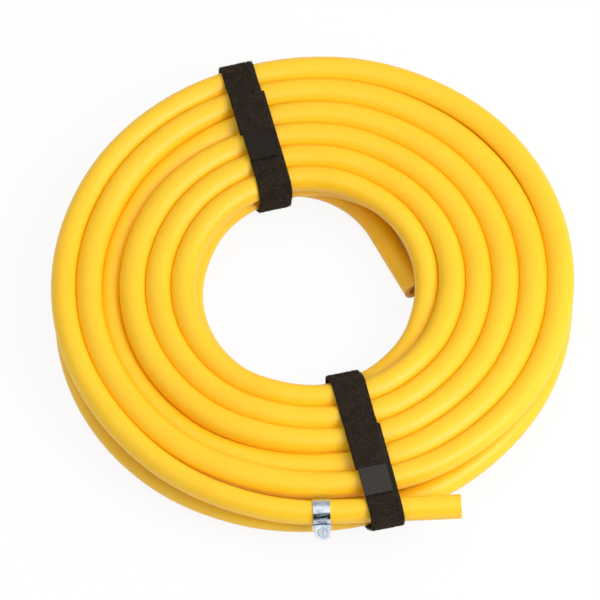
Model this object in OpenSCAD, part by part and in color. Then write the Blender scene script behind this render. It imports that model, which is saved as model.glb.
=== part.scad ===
// Coiled air hose. One length of 3/8 inch hose is wound clockwise in three layers: from its
// outer end inward on top, outward in the middle, and inward again along the floor to its
// inner end. Two hook-and-loop straps hold the coil, and a worm-drive clamp is left on the
// outer end, ready for a fitting. +Z is up, and the origin is the coil's axis on the floor.

/* [Hose] */
// Outside diameter
hose_d = 16; // [15:0.25:16.5]
// Bore
bore_d = 10; // [8:0.5:11]
// Straight stretch of the outer end beyond the clamp
tail_len = 81.5; // [70:0.5:100]
// Straight stretch of the inner end
inner_end_len = 35; // [30:1:40]

/* [Coil] */
// Centre line radius of the outermost turn of the top layer
outer_r = 169.4; // [168:0.2:171]
// Room between neighbouring turns of the top layer
turn_room = 0.7; // [0.65:0.05:0.8]
// Centre line radius where the hose turns back outside
back_r = 166; // [165.5:0.5:167]
// Centre line radius where the hose leaves the bottom layer
leave_r = 98.7; // [98:0.1:99.5]
// Sideways shift of the top layer's inner turns against its outer ones
turn_drift = 4.7; // [4.5:0.1:4.8]
// Depth of the third turn below the top layer, beyond the hose's radius
sink_room = 0.8; // [0.7:0.05:0.9]
// Outward sweep of the outermost turn where it becomes the straight outer end
lead_out = 4.3; // [3.5:0.1:4.5]
// Direction of the straight outer end, from straight across the coil
tail_heading = 2.8; // [1:0.2:3]
// Bend radius of the inner end where it leaves the coil
end_bend_r = 64; // [60:1:66]

/* [Straps] */
// Width of the strap tape
strap_w = 22; // [20:0.5:24]
// Thickness of the loop tape
tape_t = 2; // [1.5:0.1:2.4]
// Thickness of the welded hook tab
tab_t = 1.2; // [1:0.1:1.6]
// Width of the hook tab
tab_w = 18.4; // [16:0.2:20]
// Length of the hook tab
tab_len = 21; // [18:0.5:22]
// Sideways shift of the upper lap from the lower one
lap_shift = 1.8; // [0:0.2:3]

/* [Clamp] */
// Width of the clamp band
band_w = 11.2; // [10:0.2:12]
// Thickness of the clamp band
band_t = 0.7; // [0.6:0.05:0.8]
// Pitch of the band's slots and of the worm thread
pitch = 2.8; // [2.6:0.05:3]
// Turn of the screw housing around the hose, from straight outward
housing_angle = -31; // [-35:1:-25]
// Size of the screw head across its flats
head_af = 6.3; // [5.5:0.1:7]

/* [Hidden] */
hose_r = hose_d / 2;

// Directions are angles from +X, anticlockwise from above; the hose runs clockwise.
tail_angle = 269;
inner_back_angle = 345;
outer_back_angle = 255;
leave_angle = 110;
end_heading = -62.4;
top_loops = 5;
middle_loops = 4;
bottom_loops = 3;
rings_per_loop = 24;

// Angles travelled along the hose at the two turning points and at the end of the coil.
a_inner = tail_angle - inner_back_angle + 360 + 360 * top_loops;
a_outer = a_inner + inner_back_angle - outer_back_angle + 360 * middle_loops;
a_leave = a_outer + outer_back_angle - leave_angle + 360 * bottom_loops;

// Layers lie half a millimetre apart, and each climbs or drops over half a turn.
layer_gap = 0.5;
layer_rise = hose_d + layer_gap;
half_turn = 180;
lead_angle = 60;

// Each step below is a share of a whole, and where it begins and ends.
// A top turn moves inward at a steady rate and in two steps, counted in parts of a turn.
turn_shift = hose_d + turn_room;
turn_steps = [[0.13, 0.55, 0.89], [0.2, 0.91, 1]];
steady_share = 1 - turn_steps[0][0] - turn_steps[1][0];

// The inner turns are shifted in this direction and the outer ones against it. The third
// turn between them is pressed down into the wide place of the middle layer.
drift_direction = 186;
drift_steps = [[0.5, 449, 649], [0.5, 800, 1180]];
sink = hose_r + sink_room;
sink_at = 793;
sink_half = 40;
sink_ease = 76;

// The first turn stands out a little opposite the loose end.
swell = 3.2;
swell_at = 215;
swell_ease = 60;

// The middle layer's turns lie close up to its wide place, and close again beyond it. The
// far strap holds the first two of them a little outward.
middle_room = 0.6;
middle_shift = hose_d + middle_room;
wide_from = 870;
wide_over = 308;
push = 2;
push_turns = 2;
push_angle = 112;
push_half = 12;
push_ease = 45;

// The straps run across the coil along these directions, this far to the left of its axis.
near_direction = 283.2;
near_offset = 4.2;
far_direction = 104.3;
far_offset = 8.7;
strap_slack = 0.35;
// The coil is lifted by the tape under it over this angle each side, and settles over the next.
near_lift_angle = 284;
far_lift_angle = 111;
lift_half_angle = 28;
settle_angle = 25;
lift = tape_t + strap_slack;

// The first hose diameter of the straight outer end belongs to the coil and carries the clamp.
seat_len = hose_d + 1;
end_straight = hose_d;

function smooth(x) = (1 - cos(180 * min(1, max(0, x)))) / 2;
function apart(a, b) = abs(a - b - 360 * round((a - b) / 360));
function raised(angle, middle) = 1 - smooth((apart(angle, middle) - lift_half_angle) / settle_angle);
function lifted(angle) = lift * max(raised(angle, near_lift_angle), raised(angle, far_lift_angle));

// Sum of the steps made at x.
function stepped(steps, x, i = 0) =
    i == len(steps) ? 0
    : steps[i][0] * smooth((x - steps[i][1]) / (steps[i][2] - steps[i][1])) + stepped(steps, x, i + 1);

// Turns moved in after travelling a.
function turns_in(a) =
    let (whole = floor(a / 360), part = a / 360 - whole)
    whole + steady_share * part + stepped(turn_steps, part);

function drifted(a) =
    turn_drift * cos(tail_angle - a - drift_direction) * (stepped(drift_steps, a) - 0.5);
function swollen(a) = swell * (1 - smooth(abs(a - swell_at) / swell_ease));
function top_radius(a) =
    outer_r - turn_shift * turns_in(a) + lead_out * (1 - smooth(a / lead_angle)) + drifted(a) + swollen(a);

inner_r = top_radius(a_inner);
middle_turns = (a_outer - a_inner) / 360;
widening = back_r - inner_r - middle_shift * middle_turns;
function pushed(a) =
    a > a_inner + 360 * push_turns ? 0
    : push * (1 - smooth((apart(tail_angle - a, push_angle) - push_half) / push_ease));
function middle_radius(a) =
    inner_r + middle_shift * (a - a_inner) / 360 + pushed(a)
        + widening * smooth((a - a_inner - wide_from) / wide_over);

function coil_radius(a) =
    a < a_inner ? top_radius(a)
    : a < a_outer ? middle_radius(a)
    : back_r - (back_r - leave_r) * (a - a_outer) / (a_leave - a_outer);

function sunk(a) = sink * (1 - smooth((abs(a - sink_at) - sink_half) / sink_ease));
function layers_up(a) =
    2 - smooth((a - a_inner) / half_turn + 0.5) - smooth((a - a_outer) / half_turn + 0.5);
function coil_height(a) =
    hose_r + lifted(tail_angle - a) + layer_rise * layers_up(a) - sunk(a);

function coil_point(a) =
    let (angle = tail_angle - a, r = coil_radius(a))
    [r * cos(angle), r * sin(angle), coil_height(a)];

function flat_heading(p, q) = atan2(q.y - p.y, q.x - p.x);
function along(heading) = [cos(heading), sin(heading), 0];
function to_left(heading) = [-sin(heading), cos(heading), 0];

// The outer end runs straight out of the coil, against the hose's direction of travel.
tail_start = coil_point(0) + seat_len * along(tail_heading);
tail_end = tail_start + tail_len * along(tail_heading);

// The inner end bends in under the layers above it, comes down to the floor, and runs straight.
nudge = 0.5;
leave_heading = flat_heading(coil_point(a_leave - nudge), coil_point(a_leave));
bend_centre = coil_point(a_leave) - end_bend_r * to_left(leave_heading);
bend_turn = leave_heading - end_heading;
bend_steps = 8;
settle_from = 0.3;
function bend_height(t) = lift * (1 - smooth((t - settle_from) / (1 - settle_from)));
function bend_point(t) =
    let (p = bend_centre + end_bend_r * to_left(leave_heading - bend_turn * t))
    [p.x, p.y, hose_r + bend_height(t)];
bend_end = bend_point(1);
inner_start = bend_end + end_straight * along(end_heading);
inner_end = inner_start + inner_end_len * along(end_heading);

// The coil's rings, from the outer end to the inner one.
coil_rings = ceil(a_leave * rings_per_loop / 360);
function coil_path(count) = concat(
    [tail_start],
    [for (i = [0 : count]) coil_point(a_leave * i / count)],
    [for (i = [1 : bend_steps]) bend_point(i / bend_steps)],
    [inner_start]
);
ring_path = coil_path(coil_rings);
fine_steps = 5;
fine_path = coil_path(coil_rings * fine_steps);

// Least distance between turns one or more loops apart, and from the ends to the coil.
turn_gap = min([
    for (i = [0 : coil_rings]) let (a = a_leave * i / coil_rings)
        for (b = [a + 360 : 360 : a_leave]) norm(coil_point(a) - coil_point(b))
]) - hose_d;
end_points = concat(
    [for (t = [0 : 0.25 : 1]) tail_start + (tail_end - tail_start) * t],
    [for (i = [4 : bend_steps]) bend_point(i / bend_steps)],
    [for (t = [0.25 : 0.25 : 1]) bend_end + (inner_end - bend_end) * t]
);
next_rings = 3;
end_gap = min([
    for (p = end_points) for (i = [next_rings : coil_rings - next_rings])
        norm(p - coil_point(a_leave * i / coil_rings))
]) - hose_d;
echo("least gap of the hose to itself, mm", min(turn_gap, end_gap));
function run(path, i = 0, sum = 0) =
    i == len(path) - 1 ? sum : run(path, i + 1, sum + norm(path[i + 1] - path[i]));
echo("length of the hose, mm", run(fine_path) + tail_len + inner_end_len);

// ---- straps: where the hose crosses a strap's plane, as points along and above it ----
whole_path = concat([tail_end], ring_path, [inner_end]);
whole_fine = concat([tail_end], fine_path, [inner_end]);
function crossings(path, direction, offset) = [
    for (i = [0 : len(path) - 2])
        let (
            side_a = path[i] * to_left(direction) - offset,
            side_b = path[i + 1] * to_left(direction) - offset
        )
        if (side_a * side_b <= 0 && side_a != side_b)
            let (p = path[i] + (path[i + 1] - path[i]) * side_a / (side_a - side_b))
            if (p * along(direction) > 0) [p * along(direction), p.z]
];
function bundle(direction, offset) = [
    for (side = [-0.5, 0, 0.5]) for (path = [whole_path, whole_fine])
        each crossings(path, direction, offset + side * (strap_w + lap_shift))
];

// Corners of the bundle's convex outline, anticlockwise, by walking round it.
function bend(o, a, b) = (a.x - o.x) * (b.y - o.y) - (a.y - o.y) * (b.x - o.x);
flat_bend = 0.01;
most_corners = 30;
function outer_of(o, a, b) =
    a == undef ? b
    : bend(o, a, b) < -flat_bend ? b
    : bend(o, a, b) <= flat_bend && norm(b - o) > norm(a - o) ? b
    : a;
function next_corner(points, o, i = 0, best = undef) =
    i == len(points) ? best
    : next_corner(points, o, i + 1, norm(points[i] - o) < flat_bend ? best : outer_of(o, best, points[i]));
function lowest(points, i = 1, best = 0) =
    i == len(points) ? points[best]
    : lowest(
        points, i + 1,
        points[i].y < points[best].y - flat_bend
            || (abs(points[i].y - points[best].y) <= flat_bend && points[i].x < points[best].x)
            ? i : best
    );
function corners(points, found) =
    let (o = found[len(found) - 1], n = next_corner(points, o))
    norm(n - found[0]) < flat_bend || len(found) > most_corners ? found : corners(points, concat(found, [n]));
function wrap_corners(points) = corners(points, [lowest(points)]);

// A line drawn tight round circles of radius r at those corners.
arc_step = 9;
function edge_normal(c, i) =
    let (a = c[i], b = c[(i + 1) % len(c)])
    atan2(a.x - b.x, b.y - a.y);
function wrap_outline(c, r) = [
    for (i = [0 : len(c) - 1])
        let (
            from = edge_normal(c, (i + len(c) - 1) % len(c)),
            turned = edge_normal(c, i) - from,
            sweep = turned < 0 ? turned + 360 : turned,
            steps = max(1, ceil(sweep / arc_step))
        )
        for (k = [0 : steps]) c[i] + r * [cos(from + sweep * k / steps), sin(from + sweep * k / steps)]
];

wrap_r = hose_r + strap_slack;
near_corners = wrap_corners(bundle(near_direction, near_offset));
far_corners = wrap_corners(bundle(far_direction, far_offset));

// Places along each strap: where the lower lap ends, and where the tab is welded on.
near_lap = 118;
near_weld = 150;
far_lap = 146;
far_weld = 115.5;
lap_ramp = 9;
lap_gap = 0.2;
weld_gap = 0.3;
top_line = hose_r + 2 * layer_rise + lift + wrap_r;
lap_level = top_line + tape_t + lap_gap;
big = 400;
tab_corner_r = 0.8;

module in_strap_frame(direction, offset) {
    rotate([0, 0, direction]) translate([0, offset, 0]) children();
}

module upright(width) {
    rotate([90, 0, 0]) linear_extrude(width, center = true) children();
}

module tape_ring(c) {
    difference() {
        polygon(wrap_outline(c, wrap_r + tape_t));
        polygon(wrap_outline(c, wrap_r));
    }
}

// The upper lap leaves the bundle at the lap and lies on the lower one up to the weld.
ramp_steps = 6;
module upper_lap(lap, weld, way) {
    start = lap - way * lap_ramp;
    rise = tape_t + lap_gap;
    polygon(concat(
        [for (i = [0 : ramp_steps])
            [start + way * lap_ramp * i / ramp_steps, top_line + rise * smooth(i / ramp_steps)]],
        [[weld, lap_level], [weld, lap_level + tape_t]],
        [for (i = [ramp_steps : -1 : 0])
            [start + way * lap_ramp * i / ramp_steps, top_line + tape_t + rise * smooth(i / ramp_steps)]]
    ));
}

// way is 1 where the upper lap points outward along the strap, and -1 where it points inward.
module strap_tape(c, direction, offset, lap, weld, way) {
    in_strap_frame(direction, offset) {
        translate([0, way * lap_shift / 2, 0]) upright(strap_w)
            intersection() {
                tape_ring(c);
                translate([way > 0 ? lap : lap - big, -big / 2]) square(big);
            }
        translate([0, -way * lap_shift / 2, 0]) upright(strap_w) {
            difference() {
                tape_ring(c);
                translate([way > 0 ? lap : lap - big, -big / 2]) square(big);
                translate([min(lap, lap - way * lap_ramp), top_line - tape_t / 2])
                    square([lap_ramp, 2 * tape_t]);
            }
            upper_lap(lap, weld, way);
        }
    }
}

// The hook tab: a flat moulded plate with rounded outer corners, hooks on its underside.
hook_t = 0.5;
hook_margin = 1.5;
module hook_tab(direction, offset, weld, way) {
    in_strap_frame(direction, offset)
        translate([weld, -way * lap_shift / 2, lap_level + tape_t])
            mirror([way > 0 ? 0 : 1, 0, 0])
                translate([weld_gap, 0, -tab_t]) {
                    linear_extrude(tab_t) tab_outline(tab_len - weld_gap, tab_w);
                    translate([hook_margin, 0, -hook_t])
                        linear_extrude(hook_t)
                            tab_outline(tab_len - weld_gap - 2 * hook_margin, tab_w - 2 * hook_margin);
                }
}

module tab_outline(len, width) {
    square_len = len - tab_corner_r;
    translate([0, -width / 2]) square([square_len, width]);
    translate([square_len, -width / 2 + tab_corner_r])
        square([tab_corner_r, width - 2 * tab_corner_r]);
    for (side = [-1, 1]) translate([square_len, side * (width / 2 - tab_corner_r)])
        circle(tab_corner_r, $fn = 48);
}

// ---- clamp: X points out of the hose through the housing, Y along the screw to its head,
// and Z along the hose ----
band_clear = 0.1;
band_r1 = hose_r + band_clear;
lap_clear = 0.05;
band_r2 = band_r1 + band_t + lap_clear;
band_out = band_r2 + band_t;
fixed_end = -8;
ramp_start = 326;
ramp_sweep = 18;
tip_angle = 125;
tip_r = band_w / 2;
slot_w = 1.35;
slot_len = 7;
slot_phase = 0.68;
slot_angle = 360 * pitch / (2 * PI * (band_r2 + band_t / 2));
first_slot = -1;
last_slot = 5;
thread_r = 3;
thread_depth = 0.6;
thread_len = 9.6;
mesh_depth = 0.25;
screw_x = band_out - mesh_depth + thread_r + thread_depth;
lead_slant = atan(pitch / (2 * PI * thread_r));
housing_wall = 0.9;
cavity_clear = 0.35;
cavity_r = thread_r + thread_depth + cavity_clear;
housing_half = 6;
cavity_half = 5.1;
housing_top = screw_x + cavity_r + housing_wall;
housing_w = 2 * (cavity_r + housing_wall);
leg_t = 0.6;
leg_half = 4;
leg_foot = band_r1 + band_clear;
leg_rise = 2;
neck_r = 2.3;
neck_clear = 0.15;
neck_root = 0.5;
head_len = 3.6;
head_corner = head_af / sqrt(3);
head_gap = 0.15;
driver_slot_w = 1.2;
driver_slot_d = 1.6;
head_chamfer_side = 0.3;
head_chamfer_top = 0.7;
clamp_set_back = 0.9;
clamp_centre = coil_point(0) + (seat_len / 2 - clamp_set_back) * along(tail_heading);

module in_clamp_frame() {
    translate(clamp_centre) rotate([0, 0, tail_heading]) rotate([90, 0, -90])
        rotate([0, 0, housing_angle]) children();
}

// Inner radius of the strip at an angle counted from its fixed end: once round the hose, up
// the ramp, and over itself. Points lie on whole steps, so that parts of the strip join.
strip_step = 3;
ramp_from = ramp_start - fixed_end;
strip_sweep = tip_angle + 360 - fixed_end;
tip_sweep = 45;
function strip_radius(turned) =
    band_r1 + (band_r2 - band_r1) * smooth((turned - ramp_from) / ramp_sweep);
function strip_edge(from, to, thickness) = [
    for (turned = [from : strip_step : to])
        (strip_radius(turned) + thickness) * [cos(fixed_end + turned), sin(fixed_end + turned)]
];
function reversed(list) = [for (i = [len(list) - 1 : -1 : 0]) list[i]];
function whole_steps(angle) = strip_step * round(angle / strip_step);

module strip(from, to) {
    translate([0, 0, -band_w / 2]) linear_extrude(band_w) polygon(concat(
        strip_edge(whole_steps(from), whole_steps(to), 0),
        reversed(strip_edge(whole_steps(from), whole_steps(to), band_t))
    ));
}

module band_slots() {
    for (k = [first_slot : last_slot])
        rotate([0, 0, (k + slot_phase) * slot_angle])
            translate([band_r2 - lap_clear / 2, 0, 0]) rotate([lead_slant, 0, 0])
                translate([0, -slot_w / 2, -slot_len / 2]) cube([2 * band_t, slot_w, slot_len]);
}

module tip_cut() {
    half_sweep = 18;
    reach = band_out * sin(half_sweep) - tip_r;
    rotate([0, 0, tip_angle - half_sweep]) translate([0, reach, 0]) rotate([0, 90, 0])
        linear_extrude(2 * band_out) difference() {
            translate([-band_w, 0]) square([2 * band_w, band_w]);
            circle(tip_r, $fn = 64);
        }
}

module clamp_band() {
    color("LightSteelBlue") in_clamp_frame() difference() {
        union() {
            strip(0, strip_sweep - tip_sweep);
            difference() {
                strip(strip_sweep - tip_sweep - strip_step, strip_sweep);
                tip_cut();
            }
        }
        band_slots();
    }
}

// The housing is a pressed channel over the worm, with legs that hold the band's fixed end.
module housing_profile() {
    shoulder = 3;
    join = 0.01;
    half = housing_w / 2;
    base = leg_foot;
    translate([base, -half]) square([housing_top - base - shoulder, housing_w]);
    translate([housing_top - shoulder - join, -half + shoulder])
        square([shoulder + join, housing_w - 2 * shoulder]);
    for (side = [-1, 1]) translate([housing_top - shoulder, side * (half - shoulder)])
        circle(shoulder, $fn = 48);
}

module along_screw(from, to) {
    translate([0, to, 0]) rotate([90, 0, 0]) linear_extrude(to - from) children();
}

module clamp_housing() {
    leg_w = band_w + 2 * (band_clear + leg_t);
    color("Silver") in_clamp_frame() difference() {
        union() {
            along_screw(-housing_half, housing_half) housing_profile();
            along_screw(-leg_half, leg_half) translate([leg_foot, -leg_w / 2])
                square([band_out + leg_rise - leg_foot, leg_w]);
        }
        cylinder(h = band_w + 2 * band_clear, r = band_out + band_clear, center = true, $fn = 120);
        translate([screw_x, cavity_half, 0]) rotate([90, 0, 0])
            cylinder(h = 2 * cavity_half, r = cavity_r, $fn = 64);
        translate([screw_x, 0, 0]) rotate([-90, 0, 0])
            cylinder(h = 2 * housing_half, r = neck_r + neck_clear, $fn = 64);
    }
}

// The worm is a single-start thread: a round drawn along a helix by its own depth.
module clamp_screw() {
    head_start = housing_half + head_gap;
    crest_phase = 360 * (slot_phase * pitch + thread_len / 2) / pitch;
    color("Gainsboro") in_clamp_frame() translate([screw_x, 0, 0]) rotate([-90, 0, 0]) {
        translate([0, 0, -thread_len / 2]) rotate([0, 0, 180 + crest_phase])
            linear_extrude(thread_len, twist = 360 * thread_len / pitch, slices = 48)
                translate([thread_depth, 0]) circle(thread_r, $fn = 20);
        translate([0, 0, thread_len / 2 - neck_root])
            cylinder(h = head_start - thread_len / 2 + 2 * neck_root, r = neck_r, $fn = 64);
        translate([0, 0, head_start]) difference() {
            intersection() {
                cylinder(h = head_len, r = head_corner, $fn = 6);
                rotate_extrude($fn = 96) polygon([
                    [0, 0], [head_corner, 0], [head_corner, head_len - head_chamfer_top],
                    [head_af / 2 - head_chamfer_side, head_len], [0, head_len]
                ]);
            }
            translate([-head_af, -driver_slot_w / 2, head_len - driver_slot_d])
                cube([2 * head_af, driver_slot_w, 2 * driver_slot_d]);
        }
    }
}

// ---- hose ----
sides = 6;
function ring(path, i) =
    let (
        before = path[max(0, i - 1)],
        after = path[min(len(path) - 1, i + 1)],
        heading = flat_heading(before, after)
    )
    [for (k = [0 : sides - 1])
        path[i] + hose_r * (cos(360 * k / sides) * to_left(heading) + [0, 0, sin(360 * k / sides)])];

module tube(path) {
    last = len(path) - 1;
    polyhedron(
        points = [for (i = [0 : last]) each ring(path, i)],
        faces = concat(
            [for (k = [1 : sides - 2]) [0, k, k + 1]],
            [for (i = [0 : last - 1]) for (k = [0 : sides - 1])
                let (a = i * sides + k, b = i * sides + (k + 1) % sides)
                each [[a, a + sides, b], [b, a + sides, b + sides]]],
            [for (k = [1 : sides - 2]) [last * sides, last * sides + k + 1, last * sides + k]]
        )
    );
}

module straight_hose(start, heading, length) {
    translate(start) rotate([0, 90, heading]) difference() {
        cylinder(h = length, r = hose_r, $fn = 96);
        translate([0, 0, -length / 2]) cylinder(h = 2 * length, r = bore_d / 2, $fn = 96);
    }
}

module hose_coil() {
    color("Gold") tube(ring_path);
}

module hose_tail() {
    color("Gold") straight_hose(tail_start, tail_heading, tail_len);
}

module hose_inner_end() {
    color("Gold") straight_hose(inner_start, end_heading, inner_end_len);
}

module near_strap_tape() {
    color("DarkSlateGray")
        strap_tape(near_corners, near_direction, near_offset, near_lap, near_weld, 1);
}

module near_strap_tab() {
    color("DimGray") hook_tab(near_direction, near_offset, near_weld, 1);
}

module far_strap_tape() {
    color("DarkSlateGray")
        strap_tape(far_corners, far_direction, far_offset, far_lap, far_weld, -1);
}

module far_strap_tab() {
    color("DimGray") hook_tab(far_direction, far_offset, far_weld, -1);
}

hose_coil();
hose_tail();
hose_inner_end();
near_strap_tape();
near_strap_tab();
far_strap_tape();
far_strap_tab();
clamp_band();
clamp_housing();
clamp_screw();
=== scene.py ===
import logging
import math
from collections.abc import Iterable, Sequence
from dataclasses import dataclass, field
from enum import Enum

import bpy
import numpy as np
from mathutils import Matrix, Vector, noise


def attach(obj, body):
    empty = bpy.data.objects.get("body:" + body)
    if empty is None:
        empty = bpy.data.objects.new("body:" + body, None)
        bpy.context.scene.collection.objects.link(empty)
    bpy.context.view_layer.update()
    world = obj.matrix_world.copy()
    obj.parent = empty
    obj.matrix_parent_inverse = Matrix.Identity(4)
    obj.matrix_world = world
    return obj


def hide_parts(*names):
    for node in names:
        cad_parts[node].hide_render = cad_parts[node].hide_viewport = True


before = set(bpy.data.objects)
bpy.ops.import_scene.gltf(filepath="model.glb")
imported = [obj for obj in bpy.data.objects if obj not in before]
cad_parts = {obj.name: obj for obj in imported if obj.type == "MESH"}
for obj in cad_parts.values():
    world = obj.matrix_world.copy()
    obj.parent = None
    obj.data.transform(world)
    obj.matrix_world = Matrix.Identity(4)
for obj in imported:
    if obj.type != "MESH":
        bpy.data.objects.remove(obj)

log = logging.getLogger("air_hose")

MM = 0.001
UP = np.array([0.0, 0.0, 1.0])
FULL_TURN = 2 * math.pi
EASED_EDGE_STEPS = 2
SHARP_EDGE_DEGREES = 40

Triple = tuple[float, float, float]
Face = tuple[int, ...]


class LapWay(Enum):
    """Which way a strap's upper lap points along the strap."""

    OUTWARD = 1
    INWARD = -1


def smooth(x: float) -> float:
    """Eases from 0 at x = 0 to 1 at x = 1, and is flat outside."""
    return (1 - math.cos(math.pi * min(1.0, max(0.0, x)))) / 2


def along(heading: float) -> np.ndarray:
    """Unit vector on the floor at a heading in degrees from +X."""
    turn = math.radians(heading)
    return np.array([math.cos(turn), math.sin(turn), 0.0])


def to_left(heading: float) -> np.ndarray:
    """Unit vector on the floor a quarter turn to the left of a heading in degrees."""
    return along(heading + 90)


def apart(a: float, b: float) -> float:
    """Angle between two directions in degrees."""
    return abs(a - b - 360 * round((a - b) / 360))


def stepped(steps: tuple[Triple, ...], x: float) -> float:
    """Sum of the steps made at x, each a share of the whole, its beginning and its end."""
    return sum(share * smooth((x - start) / (end - start)) for share, start, end in steps)


def unit(vector: np.ndarray) -> np.ndarray:
    """The vector at length 1."""
    return vector / np.linalg.norm(vector)


def length_of(points: np.ndarray) -> float:
    """Length of the line through the points."""
    return float(np.linalg.norm(np.diff(points, axis=0), axis=1).sum())


# ---------------------------------------------------------------- the hose's route


@dataclass(frozen=True)
class CoilRoute:
    """Centre line of the hose by the same formula as its solids, in millimetres and degrees.

    The hose runs clockwise from its outer end: inward in the top layer, outward in the
    middle one, and inward again along the floor. An angle travelled, a, counts from the
    place where the straight outer end joins the coil.
    """

    # The hose and its straight ends.
    hose_r: float = 8.0
    tail_len: float = 81.5
    tail_heading: float = 2.8
    seat_len: float = 17.0
    inner_end_len: float = 35.0
    end_heading: float = -62.4
    end_straight: float = 16.0
    end_bend_r: float = 64.0
    # Loops of each layer, and the directions where the winding begins, turns back and ends.
    top_loops: int = 5
    middle_loops: int = 4
    bottom_loops: int = 3
    tail_angle: float = 269.0
    inner_back_angle: float = 345.0
    outer_back_angle: float = 255.0
    leave_angle: float = 110.0
    layer_rise: float = 16.5
    half_turn: float = 180.0
    # Radius of the outermost turn of each layer, and where the bottom layer ends.
    outer_r: float = 169.4
    back_r: float = 166.0
    leave_r: float = 98.7
    # Top layer: its turns move inward, partly in steps, and its inner ones drift sideways.
    turn_shift: float = 16.7
    turn_steps: tuple[Triple, ...] = ((0.13, 0.55, 0.89), (0.2, 0.91, 1.0))
    turn_drift: float = 4.7
    drift_direction: float = 186.0
    drift_steps: tuple[Triple, ...] = ((0.5, 449.0, 649.0), (0.5, 800.0, 1180.0))
    lead_out: float = 4.3
    lead_angle: float = 60.0
    # The third turn is pressed down, and the first stands out opposite the loose end.
    sink: float = 8.8
    sink_at: float = 793.0
    sink_half: float = 40.0
    sink_ease: float = 76.0
    swell: float = 3.2
    swell_at: float = 215.0
    swell_ease: float = 60.0
    # Middle layer: the wide place under the third turn, and the far strap's outward push.
    middle_shift: float = 16.6
    wide_from: float = 870.0
    wide_over: float = 308.0
    push: float = 2.0
    push_turns: int = 2
    push_angle: float = 112.0
    push_half: float = 12.0
    push_ease: float = 45.0
    # The tapes under the coil lift it.
    lift: float = 2.35
    lift_angles: tuple[float, float] = (284.0, 111.0)
    lift_half_angle: float = 28.0
    settle_angle: float = 25.0
    settle_from: float = 0.3
    # How finely the line is divided.
    rings_per_loop: int = 96
    bend_rings: int = 30
    straight_step: float = 4.0
    leave_look_back: float = 0.5

    @property
    def a_inner(self) -> float:
        """Angle travelled at the inner turning point."""
        return self.tail_angle - self.inner_back_angle + 360 * (1 + self.top_loops)

    @property
    def a_outer(self) -> float:
        """Angle travelled at the outer turning point."""
        between = self.inner_back_angle - self.outer_back_angle
        return self.a_inner + between + 360 * self.middle_loops

    @property
    def a_leave(self) -> float:
        """Angle travelled where the hose leaves the coil."""
        return self.a_outer + self.outer_back_angle - self.leave_angle + 360 * self.bottom_loops

    @property
    def coil_steps(self) -> int:
        """Number of steps that the coil's stretch is divided into."""
        return math.ceil(self.a_leave * self.rings_per_loop / 360)

    def lifted(self, angle: float) -> float:
        """Finds the height that the tapes under the coil add.

        Args:
            angle: Direction from the coil's centre, in degrees.

        Returns:
            The height in millimetres.
        """
        shares = []
        for middle in self.lift_angles:
            beside = apart(angle, middle) - self.lift_half_angle
            shares.append(1 - smooth(beside / self.settle_angle))
        return self.lift * max(shares)

    def turns_in(self, a: float) -> float:
        """Counts the turns moved in, partly at a steady rate and partly in steps.

        Args:
            a: Angle travelled, in degrees.

        Returns:
            The number of turns.
        """
        whole, part = divmod(a / 360, 1)
        steady = 1 - sum(share for share, _, _ in self.turn_steps)
        return whole + steady * part + stepped(self.turn_steps, part)

    def top_radius(self, a: float) -> float:
        """Finds the radius in the top layer, whose inner turns are shifted sideways.

        Args:
            a: Angle travelled, in degrees.

        Returns:
            The centre line's radius in millimetres.
        """
        drift = self.turn_drift * math.cos(math.radians(self.tail_angle - a - self.drift_direction))
        drift *= stepped(self.drift_steps, a) - 0.5
        lead = self.lead_out * (1 - smooth(a / self.lead_angle))
        swell = self.swell * (1 - smooth(abs(a - self.swell_at) / self.swell_ease))
        return self.outer_r - self.turn_shift * self.turns_in(a) + lead + drift + swell

    def middle_radius(self, a: float) -> float:
        """Finds the radius in the middle layer, which has a wide place for the third top turn.

        Args:
            a: Angle travelled, in degrees.

        Returns:
            The centre line's radius in millimetres.
        """
        inner_r = self.top_radius(self.a_inner)
        widening = self.back_r - inner_r - self.middle_shift * (self.a_outer - self.a_inner) / 360
        past = a - self.a_inner
        r = inner_r + self.middle_shift * past / 360
        r += widening * smooth((past - self.wide_from) / self.wide_over)
        if past < 360 * self.push_turns:
            beside = apart(self.tail_angle - a, self.push_angle) - self.push_half
            r += self.push * (1 - smooth(beside / self.push_ease))
        return r

    def radius(self, a: float) -> float:
        """Finds the radius anywhere in the coil.

        Args:
            a: Angle travelled, in degrees.

        Returns:
            The centre line's radius in millimetres.
        """
        if a < self.a_inner:
            return self.top_radius(a)
        if a < self.a_outer:
            return self.middle_radius(a)
        share = (a - self.a_outer) / (self.a_leave - self.a_outer)
        return self.back_r + (self.leave_r - self.back_r) * share

    def height(self, a: float) -> float:
        """Finds the height anywhere in the coil.

        Args:
            a: Angle travelled, in degrees.

        Returns:
            The centre line's height in millimetres.
        """
        layers = 2.0
        for turning in (self.a_inner, self.a_outer):
            layers -= smooth((a - turning) / self.half_turn + 0.5)
        beside = abs(a - self.sink_at) - self.sink_half
        sunk = self.sink * (1 - smooth(beside / self.sink_ease))
        return self.hose_r + self.lifted(self.tail_angle - a) + self.layer_rise * layers - sunk

    def point(self, a: float) -> np.ndarray:
        """Finds a point of the coil's centre line.

        Args:
            a: Angle travelled, in degrees.

        Returns:
            The point in millimetres.
        """
        angle = math.radians(self.tail_angle - a)
        r = self.radius(a)
        return np.array([r * math.cos(angle), r * math.sin(angle), self.height(a)])

    @property
    def tail_start(self) -> np.ndarray:
        """Where the straight outer end leaves the clamp's seat."""
        return self.point(0) + self.seat_len * along(self.tail_heading)

    @property
    def tail_end(self) -> np.ndarray:
        """Middle of the outer end's cut face."""
        return self.tail_start + self.tail_len * along(self.tail_heading)

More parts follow.
